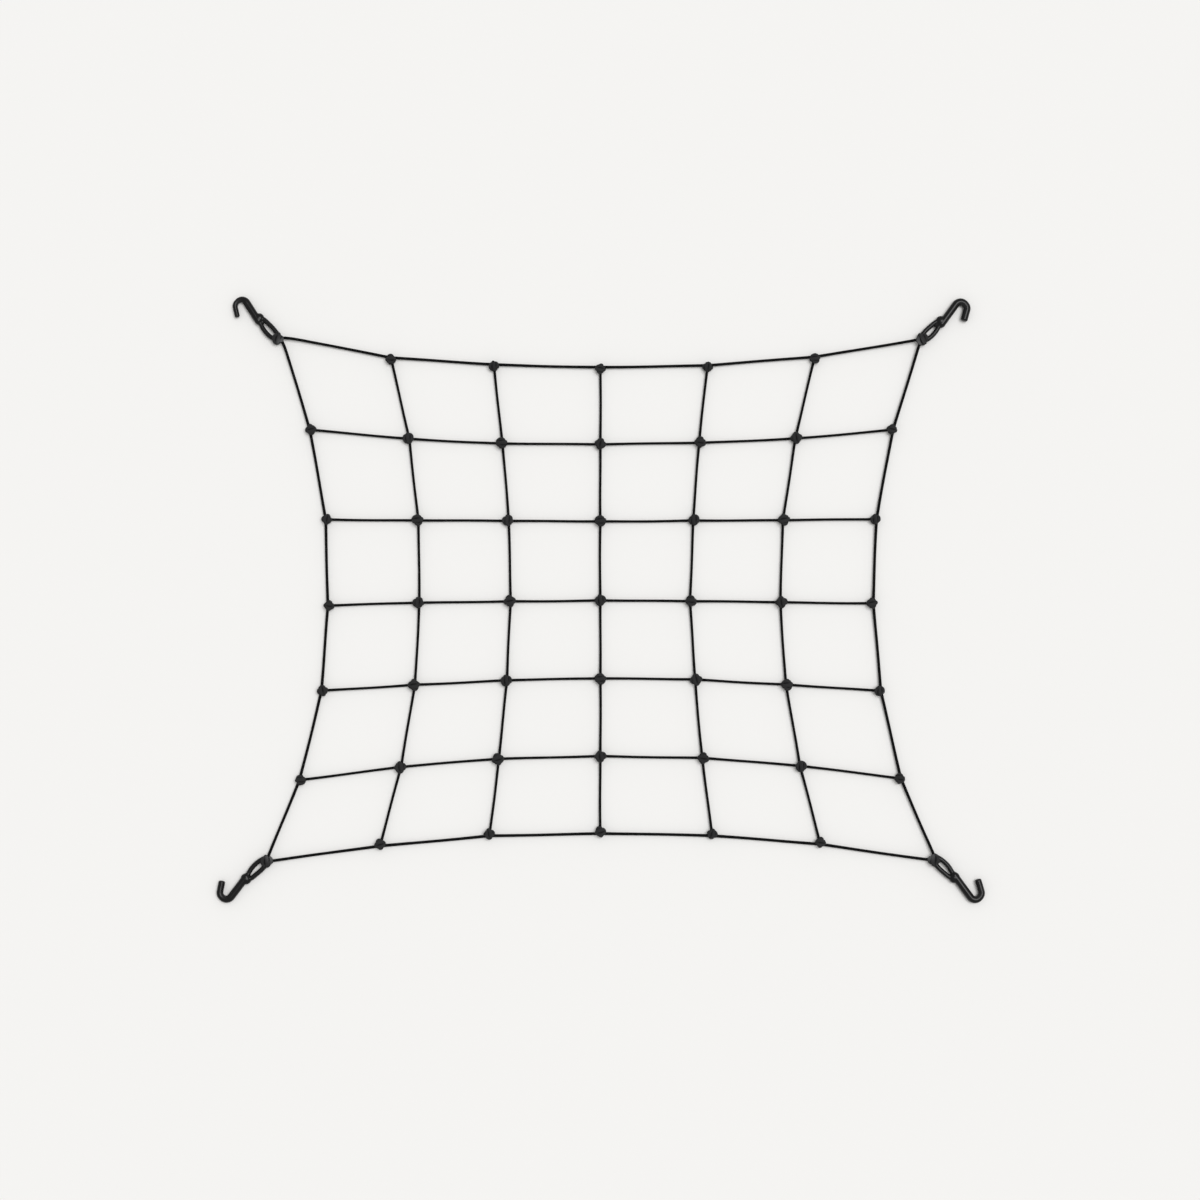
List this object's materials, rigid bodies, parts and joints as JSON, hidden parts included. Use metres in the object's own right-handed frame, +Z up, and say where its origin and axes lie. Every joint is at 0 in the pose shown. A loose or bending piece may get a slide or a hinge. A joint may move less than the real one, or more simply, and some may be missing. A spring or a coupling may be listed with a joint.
{
  "type": "plant trellis net",
  "caption": "Flat net of elastic cord, knotted into squares, with a coated wire hook tied into each corner, stretched to hold up growing plants.",
  "frame": {"origin": "the middle of the middle knot's flat underside", "axes": "+X across the net's longer way, to the right in the picture; +Y away, to the picture's top; +Z up, out of the side that faces the camera"},
  "size_m": [0.7578, 0.6076, 0.01],
  "materials": {
    "cord": "braided, matt",
    "coating": "satin dipped coating on wire"
  },
  "bodies": {
    "root": {"net": "cord", "hook_top_left": "coating", "hook_top_right": "coating", "hook_bottom_left": "coating", "hook_bottom_right": "coating"}
  },
  "joints": []
}
